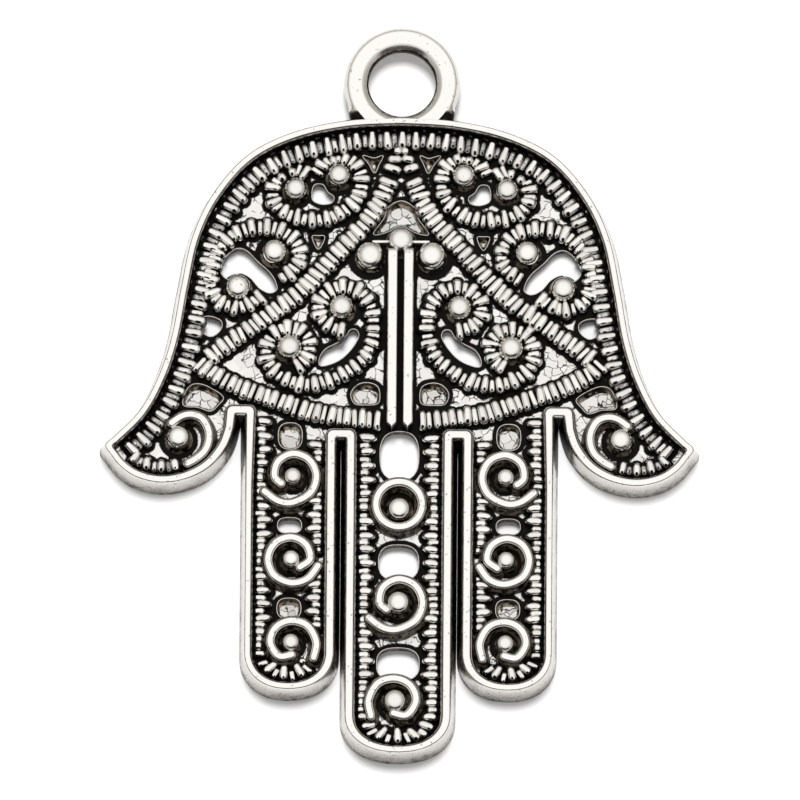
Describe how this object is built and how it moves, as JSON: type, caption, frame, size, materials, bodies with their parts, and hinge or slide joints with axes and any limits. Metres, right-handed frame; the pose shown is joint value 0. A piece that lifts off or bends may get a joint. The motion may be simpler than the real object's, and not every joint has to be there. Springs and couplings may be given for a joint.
{
  "type": "hamsa pendant",
  "caption": "Hand-shaped hamsa pendant cast in antique silver-coloured alloy, with pierced filigree relief of ribs, scrolls and balls, and a round bail.",
  "frame": {"origin": "middle of the outline, on the flat back", "axes": "+Z out of the front face, +Y from the fingers towards the bail"},
  "size_m": [0.048, 0.0598, 0.0032],
  "materials": {
    "antique_silver": "antique silver plate, polished on the raised flats and dark brown-black in the recesses"
  },
  "bodies": {
    "root": {"hamsa_casting": "antique_silver"}
  },
  "joints": []
}
